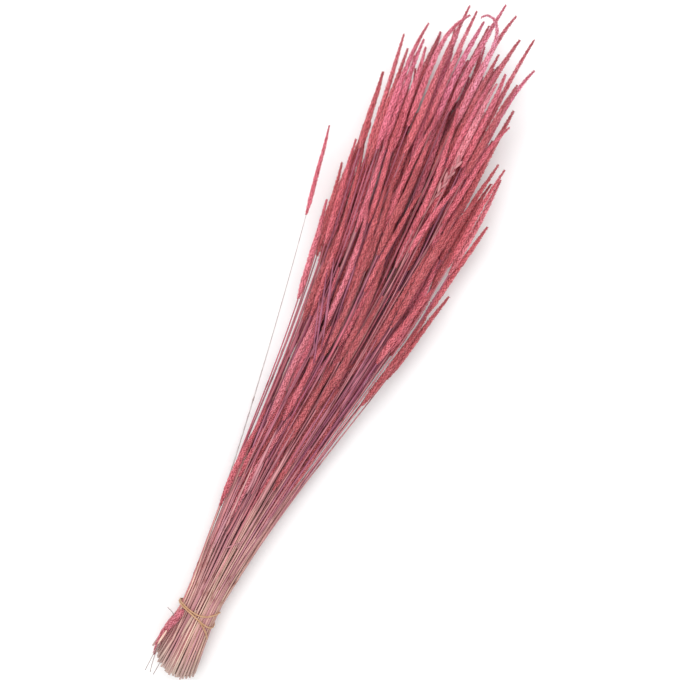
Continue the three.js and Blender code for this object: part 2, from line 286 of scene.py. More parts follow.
METRE = 1000  # in millimetres
STEP = BUNCH_LENGTH / (STATIONS - 1)
SAMPLE_STEP = STEP / SAMPLES_PER_STEP
SAMPLE_PLACES = np.arange((STATIONS - 1) * SAMPLES_PER_STEP + 1) * SAMPLE_STEP
STATION_PLACES = np.arange(STATIONS) * STEP
TIE_X = TIE_STATION * STEP
LOWEST_ROW = 1 / len(ROW_COUNTS) - 1
BAND_INNER = TIE_RADIUS + STEM_RADII[0] + BAND_SLACK
BAND_MIDDLE = BAND_INNER + BAND_RADIUS + BAND_CROSSING
TIE_HEIGHT = BAND_MIDDLE + BAND_CROSSING + BAND_RADIUS
HEAD_REST = HEAD_RADIUS[1] - FLAT_SPOT
GOLDEN = (math.sqrt(5) - 1) / 2
GOLDEN_ANGLE = 2 * math.pi * (1 - GOLDEN)

# What the materials read at each corner (reach: painted shade and highlight on a head, darker knots on a
# stem), and the two materials of a stalk
VALUE_NAMES = ("tint", "grain", "reach", "along")
TINT, GRAIN, PAINTED_LIGHT_AND_KNOTS, ALONG = range(len(VALUE_NAMES))
HEAD, STEM = 0, 1
# Sockets of a node that mixes two colours
MIX_SHARE, MIX_FIRST, MIX_SECOND, MIX_RESULT = 0, 6, 7, 2


def lerp(a, b, t):
    return a + (b - a) * t


class Draws:
    """The repeatable draws that the solids' stalks were planted by."""

    def __init__(self, seed):
        self.state = seed
        self.draw()

    def draw(self):
        self.state = (self.state + DRAW_STEP) & WORD
        t = self.state
        t = ((t ^ (t >> 15)) * (t | 1)) & WORD
        t ^= (t + (t ^ (t >> 7)) * (t | 61)) & WORD
        return (t ^ (t >> 14)) / (WORD + 1)

    def either_way(self):
        return 2 * self.draw() - 1


# The form of the bunch


def opening(x):
    return np.hypot(x - TIE_X, WAIST) - WAIST


def along_fan(x):
    return np.maximum(0, (x - TIE_X) / (BUNCH_LENGTH - TIE_X))


def half_width(x):
    return TIE_RADIUS + FAN_SPREAD * opening(x)


def half_height(x):
    return TIE_RADIUS + FAN_RISE * opening(x)


def axis_height(x):
    tie_lift = TIE_HEIGHT + LOWEST_ROW * TIE_RADIUS - HEAD_REST
    near_tie = np.exp(-(((x - TIE_X) / TIE_LIFT_LENGTH) ** 2))
    return HEAD_REST - LOWEST_ROW * half_height(x) + tie_lift * near_tie


# The share of the bow that a place along the bunch has.
def bow_shape(x):
    return np.sin(np.pi * along_fan(x)) ** BOW_POWER


# How far along the bunch a stalk's tip is, by the way it leans and a share between 0 and 1.
def tip_place(lowest, bearing, rise, share):
    on_top = max(0, rise)
    least = lowest + SIDE_TIP_LIFT * bearing**2
    most = HIGHEST_TIP - SIDE_TIP_DROP * bearing**2 - TOP_TIP_DROP * on_top**2
    return lerp(least, max(least, most), share ** lerp(TIP_BIAS, TOP_TIP_BIAS, on_top))


def head_profile(along):
    swelling = np.minimum(1, lerp(HEAD_FOOT, 1, along / HEAD_FILLS))
    return swelling * (1 - HEAD_TAPER * np.clip(along, 0, 1) ** TAPER_POWER)


def along_stem(stalk, x):
    return (x - stalk.butt) / (stalk.neck - stalk.butt)


def along_head(stalk, x):
    return (x - stalk.neck) / (stalk.tip - stalk.neck)


def stem_radius(stalk, x):
    return lerp(*stalk.stem_radii, np.clip(along_stem(stalk, x), 0, 1))


# The radius that a stalk fills at places along the bunch, or 0 where it doesn't reach.
def filled_radius(stalk, x):
    head = along_head(stalk, x)
    stem = along_stem(stalk, x)
    head_room = stalk.head_radius * head_profile(head) * (1 + RELIEF)
    stem_room = np.where((stem >= 0) & (stem < 1), stem_radius(stalk, x), 0)
    return np.where((head >= 0) & (head <= 1), head_room, stem_room)


# The lines that the stalks follow


# Shares of the stations' values that make up a smooth value at each place (Catmull-Rom).
def smooth_shares(x):
    place = np.clip(x / STEP, 0, STATIONS - 1)
    k = np.minimum(np.floor(place).astype(int), STATIONS - 2)
    t = place - k
    parts = [
        (-t + 2 * t**2 - t**3) / 2,
        (2 - 5 * t**2 + 3 * t**3) / 2,
        (t + 4 * t**2 - 3 * t**3) / 2,
        (t**3 - t**2) / 2,
    ]
    shares = np.zeros((len(place), STATIONS))
    for offset, part in zip((-1, 0, 1, 2), parts):
        np.add.at(shares, (np.arange(len(place)), np.clip(k + offset, 0, STATIONS - 1)), part)
    return shares


# Shares by which a push at each sample falls on the stations.
def push_shares():
    place = SAMPLE_PLACES / STEP
    k = np.minimum(np.floor(place + ROUNDING).astype(int), STATIONS - 2)
    shares = np.zeros((len(place), STATIONS))
    samples = np.arange(len(place))
    shares[samples, k] = 1 - (place - k)
    shares[samples, k + 1] = place - k
    return shares


# A stalk's first line, station by station, as rows of y and z.
def first_line(stalk):
    x = STATION_PLACES
    out = along_fan(x)
    nod = np.clip(along_head(stalk, x), 0, NOD_REACH) ** 2
    y = half_width(x) * lerp(stalk.u, stalk.bearing, out) - stalk.bow * bow_shape(x)
    y += stalk.nod_y * nod
    z = axis_height(x) + half_height(x) * lerp(stalk.v, stalk.rise, out) + stalk.nod_z * nod
    y[TIE_STATION] = stalk.tie_y
    return np.array([y, z])


# What each stalk that moves may touch at each sample, and how near it may come.
def crowd_of(stalks, fixed):
    near = SAMPLE_PLACES[:, None] + np.array([-0.5, 0, 0.5]) * SAMPLE_STEP
    room = np.array([filled_radius(stalk, near).max(axis=1) for stalk in stalks])
    pair = np.array([stalk.pair for stalk in stalks])
    at_tie = np.abs(SAMPLE_PLACES - TIE_X) < STEP - ROUNDING
    together = (pair[fixed:, None] == pair[None, :])[:, :, None] & at_tie
    itself = np.eye(len(stalks), dtype=bool)[fixed:, :, None]
    filled = (room[fixed:, None, :] > 0) & (room[None, :, :] > 0)
    return SimpleNamespace(
        fixed=fixed,
        itself=itself,
        room=room[fixed:],
        may_touch=filled & ~together & ~itself,
        reach=room[fixed:, None, :] + room[None, :, :] + CLEARANCE,
        share=np.where(np.arange(len(stalks)) < fixed, 1.0, 0.5)[None, :, None],
    )


# The mean push at each station of the stalks that move, from their neighbours and the surface.
def mean_push(crowd, spots, spread):
    moving = spots[crowd.fixed:]
    gap_y = spots[None, :, 0] - moving[:, None, 0]
    gap_z = spots[None, :, 1] - moving[:, None, 1]
    apart = np.hypot(gap_y, gap_z) + crowd.itself
    short = crowd.reach - apart
    touching = crowd.may_touch & (short > 0)
    strength = np.where(touching, -short * crowd.share / apart, 0)
    sunk = np.where(crowd.room > 0, crowd.room - FLAT_SPOT - moving[:, 1], 0)
    push_y = (strength * gap_y).sum(1)
    push_z = (strength * gap_z).sum(1) + np.maximum(sunk, 0)
    count = touching.sum(1) + (sunk > 0)
    return (np.stack([push_y, push_z], 1) @ spread) / np.maximum(count @ spread, 1)[:, None, :]


# Pushes the stalks apart, and up from the surface, until each has its room. The first may stay fixed.
def settle(stalks, fixed, rounds, stiff_rounds):
    crowd = crowd_of(stalks, fixed)
    lines = np.array([stalk.line for stalk in stalks])
    first = lines[fixed:].copy()
    smooth = smooth_shares(SAMPLE_PLACES)
    spread = push_shares()
    for turn in range(rounds):
        push = mean_push(crowd, lines @ smooth.T, spread)
        move_lines(lines[fixed:], first, push, STIFFNESS if turn < stiff_rounds else 0)
    for stalk, line in zip(stalks[fixed:], lines[fixed:]):
        stalk.line = line


# Moves lines by the pushes on them, and evens out how far each has bent from its first course.
def move_lines(lines, first, push, stiffness):
    bent = lines + push - first
    before = np.concatenate([bent[..., :1], bent[..., :-1]], axis=-1)
    after = np.concatenate([bent[..., 1:], bent[..., -1:]], axis=-1)
    moved = first + lerp(bent, (before + after) / 2, stiffness)
    moved[..., TIE_STATION] = lines[..., TIE_STATION]
    lines[...] = moved


# The stalks


# The stalks that the solids hold, planted by the same draws.
def plant_solid_stalks():
    draws = Draws(SEED)
    stalks = []
    for row, count in enumerate(ROW_COUNTS):
        v = (2 * row + 1) / len(ROW_COUNTS) - 1
        chord = math.sqrt(1 - v * v)
        for place in range(count):
            n = len(stalks)
            stalk = SimpleNamespace(v=v, pair=n // 2, bow=BOW, hook=0.0, dry=0.0)
            stalk.stem_radii = STEM_RADII
            stalk.u = chord * ((2 * place + 1) / count - 1)
            pair_u = chord * ((4 * (place // 2) + 2) / count - 1)
            stalk.tie_y = TIE_RADIUS * TIE_FILL * pair_u + (1 if place % 2 else -1) * PAIR_GAP / 2
            stalk.bearing = np.clip(stalk.u + WANDER * draws.either_way(), -1, 1)
            stalk.rise = v + (WANDER * draws.either_way() if row else 0)
            stalk.tip = tip_place(LOWEST_TIP, stalk.bearing, stalk.rise, n * GOLDEN % 1)
            stalk.butt = CUT_ROUND * (stalk.u + CUT_LEAN) ** 2 + CUT_SCATTER * draws.draw() ** 2
            stalk.neck = stalk.tip - lerp(*HEAD_LENGTH, draws.draw())
            stalk.head_radius = lerp(*HEAD_RADIUS, draws.draw())
            stalk.nod_y = NOD * draws.either_way()
            stalk.nod_z = NOD / 2 * draws.either_way() if row else 0
            stalk.turn = 2 * math.pi * draws.draw()
            stalk.__dict__.update(ODD_STALKS.get((row, place), {}))
            stalk.line = first_line(stalk)
            stalks.append(stalk)
    return stalks


# Places under the band for more stems, each where the widest gap is left.
def gaps_under_band(stalks, count):
    taken = [stalk.line[:, TIE_STATION] - (0, TIE_HEIGHT) for stalk in stalks]
    side = np.linspace(-TIE_RADIUS, TIE_RADIUS, GAP_GRID)
    grid = np.stack(np.meshgrid(side, side), -1).reshape(-1, 2)
    grid = grid[np.hypot(*grid.T) <= TIE_RADIUS]
    nearest = np.min([np.hypot(*(grid - spot).T) for spot in taken], axis=0)
    spots = []
    for _ in range(count):
        widest = int(np.argmax(nearest))
        spots.append(grid[widest])
        nearest = np.minimum(nearest, np.hypot(*(grid - grid[widest]).T))
    return spots


# The bearing that brings a stalk's tip to a place across the bunch.
def bearing_to(stalk, tip_y):
    out = along_fan(stalk.tip)
    at_tip = (tip_y + BOW * bow_shape(stalk.tip)) / half_width(stalk.tip)
    return (at_tip - stalk.u * (1 - out)) / out


# Leans a filler by chance, near to the way that its place under the band gives.
def lean_by_chance(stalk, n, draws):
    stalk.bearing = np.clip(stalk.u + WANDER * draws.uniform(-1, 1), -1, 1)
    stalk.rise = stalk.v + WANDER * draws.uniform(-1, 1)
    stalk.tip = tip_place(FILLER_LOWEST_TIP, stalk.bearing, stalk.rise, n * GOLDEN % 1)
    stalk.length = lerp(*HEAD_LENGTH, draws.random())
    stalk.hook = SMALL_HOOK * draws.uniform(-1, 1)
    sway = draws.uniform(-1, 1) * (1 - abs(stalk.bearing))
    stalk.nod_y = FILLER_NOD * (sway - NOD_INWARD * stalk.bearing)


# Brings a filler to the top of the bunch.
def bring_up(stalk, n, draws, on_top):
    _, tips, bearings, rise, stalk.head_radius, stalk.stem_radii = on_top
    stalk.tip = lerp(*tips, draws.random())
    stalk.bearing = lerp(*bearings, n * GOLDEN % 1)
    stalk.rise = rise * math.sqrt(1 - stalk.bearing**2)


# A filler with its stem in a gap under the band. A placed one has its tip, rise and hook given.
def plant_filler(spot, n, draws, placed, on_top):
    u, v = spot / TIE_RADIUS
    stalk = SimpleNamespace(u=u, v=v, pair=-1 - n, bow=BOW, dry=0.0, tie_y=spot[0])
    stalk.stem_radii = FILLER_STEM_RADII
    stalk.butt = CUT_ROUND * (u + CUT_LEAN) ** 2 + CUT_SCATTER * draws.random() ** 2
    stalk.head_radius = lerp(*HEAD_RADIUS, draws.random())
    stalk.nod_y, stalk.nod_z = 0.0, 0.0
    stalk.turn = 2 * math.pi * draws.random()
    if placed:
        stalk.tip, tip_y, stalk.length, stalk.rise, stalk.hook = placed
        stalk.bearing = bearing_to(stalk, tip_y)
    else:
        lean_by_chance(stalk, n, draws)
    if on_top:
        bring_up(stalk, n, draws, on_top)
    stalk.neck = stalk.tip - stalk.length
    stalk.line = first_line(stalk)
    return stalk


# Every filler. A placed one takes the gap that suits its tip best, and one on top takes the highest.
def plant_fillers(stalks):
    draws = np.random.default_rng(FILLER_SEED)
    spots = gaps_under_band(stalks, FILLER_COUNT)
    tops = [group for group in ON_TOP for _ in range(group[0])]
    kinds = [(placed, None) for placed in PLACED] + [(None, on_top) for on_top in tops]
    kinds += [(None, None)] * (FILLER_COUNT - len(kinds))
    fillers = []
    for n, (placed, on_top) in enumerate(kinds):
        best = int(np.argmax([spot[1] for spot in spots])) if on_top else 0
        if placed:
            tip, tip_y, _, rise, _ = placed
            wanted = np.array([tip_y / half_width(tip), rise]) * TIE_RADIUS
            best = int(np.argmin([np.hypot(*(spot - wanted)) for spot in spots]))
        fillers.append(plant_filler(spots.pop(best), n, draws, placed, on_top))
    return fillers


# The height of the top of the stalks above places on the surface.
def pile_tops(stalks, x, y):
    spots = np.array([stalk.line for stalk in stalks]) @ smooth_shares(x).T
    radius = np.array([filled_radius(stalk, x) for stalk in stalks])
    over = radius**2 - (spots[:, 0] - y) ** 2
    return np.where(over > 0, spots[:, 1] + np.sqrt(np.maximum(over, 0)), 0).max(axis=0)


# Shapes


class Pile:
    """Triangles collected for one piece, with the values that its materials read."""

    def __init__(self):
        self.points, self.values, self.faces, self.kinds = [], [], [], []
        self.count = 0

    def add(self, points, values, faces, kind):
        self.points.append(points)
        self.values.append(np.broadcast_to(values, (len(points), len(VALUE_NAMES))))
        self.faces.append(faces + self.count)
        self.kinds.append(np.full(len(faces), kind))
        self.count += len(points)


def unit(vectors):
    return vectors / np.linalg.norm(vectors, axis=-1, keepdims=True)


# Directions across and above a line, at each of its points.
def side_directions(ahead):
    across = unit(np.cross(ahead, (0, 0, 1)))
    return across, np.cross(across, ahead)


# Corners of the rings round the points of a line.
def ring_corners(path, across, above, radii, sides, turn=0.0, flatness=1.0):
    angles = turn + 2 * np.pi * np.arange(sides) / sides
    level = np.cos(angles)[:, None, None] * across
    upright = flatness * np.sin(angles)[:, None, None] * above
    return (path + radii[:, None] * (level + upright)).transpose(1, 0, 2).reshape(-1, 3)


# Triangles between each ring of corners and the next. The last ring of a loop joins the first.
def ring_faces(rings, sides, loop=False):
    i, j = np.meshgrid(np.arange(rings if loop else rings - 1), np.arange(sides), indexing="ij")
    next_ring, next_side = (i + 1) % rings, (j + 1) % sides
    near, near_next = i * sides + j, i * sides + next_side
    far, far_next = next_ring * sides + j, next_ring * sides + next_side
    return np.stack([near, far, near_next, near_next, far, far_next], -1).reshape(-1, 3)


# Corners and triangles of a closed tube with the given radius at each point of a line.
def tube(path, ahead, radii, sides, turn=0.0, flatness=1.0):
    across, above = side_directions(ahead)
    corners = ring_corners(path, across, above, radii, sides, turn, flatness)
    points = np.concatenate([corners, path[:1], path[-1:]])
    last = (len(path) - 1) * sides
    side = np.arange(sides)
    side_next = (side + 1) % sides
    start = np.stack([np.full(sides, last + sides), side, side_next], -1)
    end = np.stack([np.full(sides, last + sides + 1), last + side_next, last + side], -1)
    return points, np.concatenate([ring_faces(len(path), sides), start, end])


# Points of a stalk's line at places along the bunch, and the direction there.
def follow(stalk, x, sense):
    here = smooth_shares(x)
    ahead = smooth_shares(x + 1) - smooth_shares(x - 1)
    path = np.stack([x, here @ stalk.line[0], here @ stalk.line[1]], -1)
    slope = np.stack([np.full(len(x), 2.0), ahead @ stalk.line[0], ahead @ stalk.line[1]], -1)
    return path, unit(slope) * sense


# Places of a stem's knots, from its cut end.
def knot_places(length, draws):
    places = []
    knot = draws.uniform(*KNOT_GAP) / 2
    while knot < length - STEM_SUNK - KNOT_GAP[0] / 2:
        places.append(knot)
        knot += draws.uniform(*KNOT_GAP)
    return places


# Places of a stem's rings from its cut end, the hollow's two first, and how much of a knot each has.
def stem_rings(length, knots):
    from_cut = list(np.linspace(0, length, max(LEAST_RINGS, round(length / STEM_RING_GAP))))
    for knot in knots:
        from_cut += [knot + KNOT_HALF * place for place in KNOT_RINGS]
    from_cut = np.array(sorted(from_cut))
    at_knot = np.zeros(len(from_cut))
    for knot in knots:
        at_knot += np.clip(KNOT_EDGE - np.abs(from_cut - knot) / KNOT_HALF, 0, 1)
    return np.concatenate([[HOLLOW_DEPTH, 0], from_cut]), np.concatenate([[0, 0], at_knot])


# A stem: hollow at its cut end, a little swollen at its knots, and sunk into its head.
def add_stem(pile, stalk, draws):
    sense = math.copysign(1, stalk.tip - stalk.butt)
    length = abs(stalk.neck + sense * STEM_SUNK - stalk.butt)
    from_cut, at_knot = stem_rings(length, knot_places(length, draws))
    x = stalk.butt + sense * from_cut
    path, ahead = follow(stalk, x, sense)
    radii = stem_radius(stalk, x) * lerp(1, KNOT_SWELL, at_knot)
    radii[:2] *= HOLLOW_SHARE
    points, faces = tube(path, ahead, radii, STEM_SIDES, stalk.turn)
    values = np.zeros((len(points), len(VALUE_NAMES)))
    from_butt = np.abs(points[:, 0] - stalk.butt)
    values[:, TINT] = np.clip(DRY_CUT * (1 - from_butt / DRY_END), stalk.dry, 1)
    values[:, GRAIN] = stalk.stem_tone
    values[:, PAINTED_LIGHT_AND_KNOTS] = np.concatenate([np.repeat(at_knot, STEM_SIDES), at_knot[[0, -1]]])
    values[:, ALONG] = points[:, 0] / BUNCH_LENGTH
    pile.add(keep_up(points), values, faces, STEM)


# The line of a head from its foot to its tip, a little wavy. The more it hooks, the later it bends.
def head_line(stalk):
    along = np.linspace(0, 1, CORE_RINGS)
    path, _ = follow(stalk, lerp(stalk.neck, stalk.tip, along), 1)
    wave = stalk.turn + 2 * np.pi * HEAD_WAVES * along
    path[:, 1] += HEAD_WAVER * along * np.sin(wave)
    path[:, 2] += HEAD_WAVER * along * np.cos(wave)
    steps = np.diff(path, axis=0)
    lateness = HOOK_POWER + HOOK_POWER_GAIN * abs(stalk.hook)
    angle = stalk.hook * np.linspace(0, 1, len(steps)) ** lateness
    turned = np.stack([
        np.cos(angle) * steps[:, 0] - np.sin(angle) * steps[:, 1],
        np.sin(angle) * steps[:, 0] + np.cos(angle) * steps[:, 1],
        steps[:, 2],
    ], -1)
    path = np.concatenate([path[:1], path[0] + np.cumsum(turned, axis=0)])
    return path, unit(np.gradient(path, axis=0))


# A head: a core that tapers to its tip, covered with spikelets.
def add_head(pile, stalk, draws):
    path, ahead = head_line(stalk)
    along = np.linspace(0, 1, CORE_RINGS)
    radii = CORE_SHARE * stalk.head_radius * head_profile(along)
    points, faces = tube(path, ahead, radii, CORE_SIDES, stalk.turn)
    # The core shows only between the spikelets, and its low grain and zero reach give it the darkest
    # painted shade
    values = (stalk.tint, CORE_GRAIN, 0.0, stalk.neck / BUNCH_LENGTH)
    pile.add(keep_up(points), values, faces, HEAD)
    fine = np.linspace(0, 1, COVER_STEPS)
    cover = np.cumsum(head_profile(fine))
    length = np.linalg.norm(np.diff(path, axis=0), axis=1).sum()
    area = 2 * math.pi * stalk.head_radius * length * head_profile(fine).mean()
    count = int(area / SPIKELET_PITCH**2)
    place = np.interp((np.arange(count) + 0.5) / count * cover[-1], cover, fine)
    add_spikelets(pile, stalk, path, ahead, place, draws)


# Spikelets at places along a head, set round it like scales.
def add_spikelets(pile, stalk, path, ahead, place, draws):
    count = len(place)
    along = np.linspace(0, 1, len(path))
    foot = np.stack([np.interp(place, along, path[:, k]) for k in range(3)], -1)
    forward = unit(np.stack([np.interp(place, along, ahead[:, k]) for k in range(3)], -1))
    across, above = side_directions(forward)
    angle = stalk.turn + GOLDEN_ANGLE * np.arange(count)
    angle = angle + SPIKELET_STRAYS * draws.standard_normal(count)
    out = np.cos(angle)[:, None] * across + np.sin(angle)[:, None] * above
    aside = -np.sin(angle)[:, None] * across + np.cos(angle)[:, None] * above
    lean = SPIKELET_STRAYS * draws.standard_normal(count)[:, None]
    forward, aside = unit(forward + lean * aside), unit(aside - lean * forward)
    profile = head_profile(place)
    size = SPIKELET_SIZE * (1 - SPIKELET_SHRINK * (1 - profile))
    size = size * (1 + SPIKELET_VARIES * draws.standard_normal(count))
    foot = foot + (CORE_SHARE * stalk.head_radius * profile)[:, None] * out
    basis = np.stack([forward, aside, out], 1) * size[:, None, None]
    points = foot[:, None, :] + np.einsum("ck,nkj->ncj", SPIKELET_CORNERS, basis)
    corners = len(SPIKELET_CORNERS)
    values = np.zeros((count, corners, len(VALUE_NAMES)))
    values[:, :, TINT] = stalk.tint
    values[:, :, GRAIN] = draws.random(count)[:, None]
    # Painted shade at each spikelet's base and painted highlight with paler tone at its tip, less of
    # both near the head's tip
    values[:, :, PAINTED_LIGHT_AND_KNOTS] = SPIKELET_SHADE_TO_HIGHLIGHT * (1 - TIP_HIGHLIGHT_LOSS * place[:, None] ** TIP_POWER)
    values[:, :, ALONG] = foot[:, :1] / BUNCH_LENGTH
    faces = SPIKELET_FACES[None] + corners * np.arange(count)[:, None, None]
    points = keep_up(points.reshape(-1, 3))
    pile.add(points, values.reshape(-1, len(VALUE_NAMES)), faces.reshape(-1, 3), HEAD)


# Keeps corners from going under the surface that the bunch lies on.
def keep_up(points):
    points[:, 2] = np.maximum(points[:, 2], 0)
    return points


# A piece made of a pile of triangles, smooth where it is stem.
def make_piece(name, pile, materials):
    points = np.concatenate(pile.points) + (-BUNCH_LENGTH / 2, AXIS_Y, 0)
    faces = np.concatenate(pile.faces)
    kinds = np.concatenate(pile.kinds)
    values = np.concatenate(pile.values)
    mesh = bpy.data.meshes.new(name)
    mesh.vertices.add(len(points))
    mesh.vertices.foreach_set("co", (points / METRE).astype(np.float32).ravel())
    mesh.loops.add(faces.size)
    mesh.loops.foreach_set("vertex_index", faces.astype(np.int32).ravel())
    mesh.polygons.add(len(faces))
    mesh.polygons.foreach_set("loop_start", np.arange(0, faces.size, 3, dtype=np.int32))
    mesh.polygons.foreach_set("material_index", kinds.astype(np.int32))
    mesh.polygons.foreach_set("use_smooth", kinds == STEM)
    for k, value_name in enumerate(VALUE_NAMES):
        attribute = mesh.attributes.new(value_name, "FLOAT", "POINT")
        attribute.data.foreach_set("value", values[:, k].astype(np.float32))
    mesh.update(calc_edges=True)
    for material in materials:
        mesh.materials.append(material)
    piece = bpy.data.objects.new(name, mesh)
    bpy.context.scene.collection.objects.link(piece)
    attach(piece, "root")
    return piece


def stalk_piece(name, stalks, materials, draws):
    pile = Pile()
    for stalk in stalks:
        stalk.tint = TINTS * draws.random()
        stalk.stem_tone = draws.random()
        add_stem(pile, stalk, draws)
        add_head(pile, stalk, draws)
    piece = make_piece(name, pile, materials)
    return piece


# A dry leaf blade that lies on the pile along a line of places.
def add_blade(pile, stalks, x, y, half, tone):
    tops = np.max([pile_tops(stalks, x, y + side) for side in (-half, 0, half)], axis=0)
    padded = np.pad(tops, BLADE_HOLD, mode="edge")
    held = np.max([padded[k:k + len(tops)] for k in range(2 * BLADE_HOLD + 1)], axis=0)
    path = np.stack([x, y, held + BLADE_FLATNESS * half], -1)
    radii = half * np.sin(np.pi * np.linspace(*BLADE_ENDS, len(x))) ** BLADE_FULLNESS
    ahead = unit(np.gradient(path, axis=0))
    points, faces = tube(path, ahead, radii, STEM_SIDES, flatness=BLADE_FLATNESS)
    pile.add(points, (0.0, tone, 0.0, x[0] / BUNCH_LENGTH), faces, STEM)


# A hair from the top of the pile, bent on its way to its end.
def add_hair(pile, stalks, start, end, droop):
    t = np.linspace(0, 1, HAIR_RINGS)
    top = pile_tops(stalks, np.array(start[:1], float), np.array(start[1:], float))[0]
    x = lerp(start[0], end[0], t)
    y = lerp(start[1], end[1], t**2)
    path = np.stack([x, y, top - droop * t**2], -1)
    ahead = unit(np.gradient(path, axis=0))
    points, faces = tube(path, ahead, np.full(len(t), HAIR_RADIUS), HAIR_SIDES)
    pile.add(keep_up(points), HAIR_VALUES, faces, STEM)


# A broken head that lies on the pile.
def add_broken_head(pile, stalks, draws):
    (neck, neck_y), (tip, tip_y) = BROKEN_ENDS
    x, y = np.linspace(*BROKEN_ENDS, BLADE_RINGS).T
    height = pile_tops(stalks, x, y).mean() + BROKEN_RADIUS / 2
    slope = (tip_y - neck_y) / (tip - neck)
    head = SimpleNamespace(neck=neck, tip=tip, hook=0.0, turn=0.0)
    head.head_radius = BROKEN_RADIUS
    head.tint = BROKEN_TINT
    head.line = np.array([neck_y + slope * (STATION_PLACES - neck), np.full(STATIONS, height)])
    add_head(pile, head, draws)


# A straight blade between two places along and across the bunch.
def add_straight_blade(pile, stalks, start, end, half, tone):
    x, y = np.linspace(start, end, BLADE_RINGS).T
    add_blade(pile, stalks, x, y, half, tone)


# A feathery spike that lies on the pile: a thin stem, and spikelets to its left and right in turn.
def add_feather(pile, stalks):
    start, end = np.array(FEATHER_ENDS)
    ahead = unit(end - start)
    aside = np.array([-ahead[1], ahead[0]])
    add_straight_blade(pile, stalks, start, end, FEATHER_STEM_HALF, FEATHER_TONE)
    for n in range(FEATHER_COUNT):
        lean = FEATHER_LEAN if n % 2 else -FEATHER_LEAN
        share = n * GOLDEN % 1
        foot = lerp(start, end, lerp(FEATHER_BARE, 1, n / FEATHER_COUNT))
        tip = foot + lerp(*FEATHER_LENGTH, share) * unit(ahead + lean * aside)
        add_straight_blade(pile, stalks, foot, tip, lerp(*FEATHER_HALF_WIDTH, share), FEATHER_TONE)


# Leaf blades, strips of painted shade laid as blades, hairs, the feathery spike and the broken head.
def loose_bits_piece(stalks, materials, draws):
    pile = Pile()
    for _ in range(BLADE_COUNT):
        x = draws.uniform(*BLADE_STARTS) + np.linspace(0, draws.uniform(*BLADE_LENGTH), BLADE_RINGS)
        y = half_width(x) * draws.uniform(-BLADE_SPREAD, BLADE_SPREAD) - BOW * bow_shape(x)
        y += BLADE_DRIFT * draws.uniform(-1, 1) * (x - x[0])
        add_blade(pile, stalks, x, y, draws.uniform(*BLADE_HALF_WIDTH), draws.uniform(*BLADE_TONES))
    for placed in BLADES_AND_SHADE_STRIPS:
        add_straight_blade(pile, stalks, *placed)
    for start, end, droop in HAIRS:
        add_hair(pile, stalks, start, end, droop)
    add_feather(pile, stalks)
    add_broken_head(pile, stalks, draws)
    make_piece("loose_bits", pile, materials)


# The line of the band, and the directions out of the bunch along it.
def band_line():
    t = np.arange(BAND_STEPS) / BAND_STEPS
    turn = 2 * np.pi * BAND_TURNS * t
    strand = 2 * np.pi * t
    side = np.sin(turn)
    spread = BAND_SPREAD * lerp(BAND_GATHERED, 1, ((1 - side) / 2) ** BAND_GATHERING)
    lift = BAND_CROSSING * (1 + np.sin(strand)) * lerp(BAND_TIGHT, 1, (1 + side) / 2)
    radius = BAND_INNER + BAND_RADIUS + lift
    x = TIE_X - BAND_SET_BACK + spread * np.cos(strand) + BAND_TILT * side
    path = np.stack([x, radius * side, TIE_HEIGHT + radius * np.cos(turn)], -1)
    return path, unit(np.stack([0 * t, side, np.cos(turn)], -1))


# The band: one closed loop that goes round the stems several times and crosses over itself.
def band_piece(material):
    path, outward = band_line()
    ahead = unit(np.roll(path, -1, axis=0) - np.roll(path, 1, axis=0))
    across = unit(np.cross(ahead, outward))
    above = np.cross(across, ahead)
    points = ring_corners(path, across, above, np.full(BAND_STEPS, BAND_RADIUS), BAND_SIDES)
    pile = Pile()
    pile.add(points, BAND_VALUES, ring_faces(BAND_STEPS, BAND_SIDES, loop=True), STEM)
    piece = make_piece("band", pile, [material, material])
    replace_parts(piece, "rubber_band")


# Materials


class Shader:
    """A Principled material and short ways to add nodes to it."""

    def __init__(self, name):
        self.material = bpy.data.materials.new(name)
        self.material.use_nodes = True
        self.tree = self.material.node_tree
        self.principled = self.tree.nodes["Principled BSDF"]

    def node(self, kind, inputs=None, **settings):
        made = self.tree.nodes.new(kind)
        for key, value in settings.items():
            setattr(made, key, value)
        for key, value in (inputs or {}).items():
            self.put(made.inputs[key], value)
        return made

    def put(self, socket, value):
        if isinstance(value, bpy.types.NodeSocket):
            self.tree.links.new(value, socket)
        else:
            socket.default_value = value

    def set(self, **inputs):
        for key, value in inputs.items():
            self.put(self.principled.inputs[key.replace("_", " ")], value)

    def value(self, name):
        return self.node("ShaderNodeAttribute", attribute_name=name).outputs["Fac"]

    def ramp(self, source, stops):
        made = self.node("ShaderNodeValToRGB", {"Fac": source})
        elements = made.color_ramp.elements
        while len(elements) < len(stops):
            elements.new(0.5)
        for element, (place, colour) in zip(elements, stops):
            element.position = place
            element.color = (*colour, 1)
        return made.outputs["Color"]

    def mix(self, mode, share, a, b):
        made = self.node("ShaderNodeMix", data_type="RGBA", blend_type=mode)
        self.put(made.inputs[MIX_SHARE], share)
        self.put(made.inputs[MIX_FIRST], a)
        self.put(made.inputs[MIX_SECOND], b)
        return made.outputs[MIX_RESULT]

    def multiply(self, colour, *layers):
        for layer in layers:
            colour = self.mix("MULTIPLY", 1.0, colour, layer)
        return colour

    def noise(self, scale, detail, stretch=(1, 1, 1)):
        place = self.node("ShaderNodeTexCoord").outputs["Object"]
        mapped = self.node("ShaderNodeMapping", {"Vector": place, "Scale": stretch})
        inputs = {"Vector": mapped.outputs[0], "Scale": scale, "Detail": detail}
        return self.node("ShaderNodeTexNoise", inputs).outputs["Fac"]

    def bump(self, height, strength, distance):
        inputs = {"Height": height, "Strength": strength, "Distance": distance}
        return self.node("ShaderNodeBump", inputs).outputs["Normal"]


